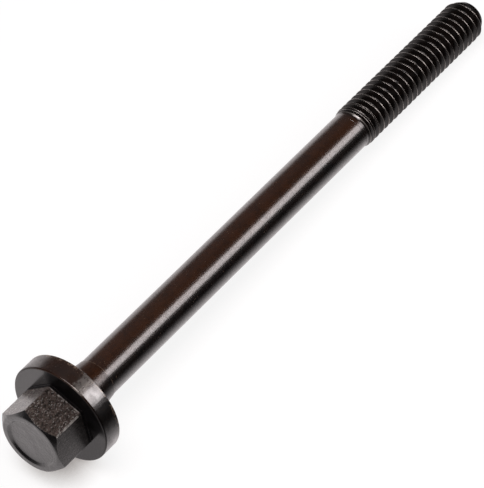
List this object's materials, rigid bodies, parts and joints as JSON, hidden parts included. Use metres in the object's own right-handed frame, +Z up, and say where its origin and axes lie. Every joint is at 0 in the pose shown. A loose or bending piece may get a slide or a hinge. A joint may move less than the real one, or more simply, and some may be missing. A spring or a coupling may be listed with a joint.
{
  "type": "cylinder head bolt",
  "caption": "Long hexagon head bolt with an integral round flange, tapered neck, reduced plain shank and coarse rolled thread with a chamfered point, black oxide steel.",
  "frame": {"origin": "middle of the bolt's bounding box, on the surface that the bolt lies on", "axes": "+X along the bolt from the head to the point, +Z up; the bolt lies at rest on its flange's rear edge and its last thread crests, so its axis dips 2.8 degrees towards the point"},
  "size_m": [0.1716, 0.0262, 0.0264],
  "materials": {
    "black_oxide_steel": "black oxide on turned and rolled steel, lightly oiled satin"
  },
  "bodies": {
    "root": {"cylinder_head_bolt": "black_oxide_steel"}
  },
  "joints": []
}
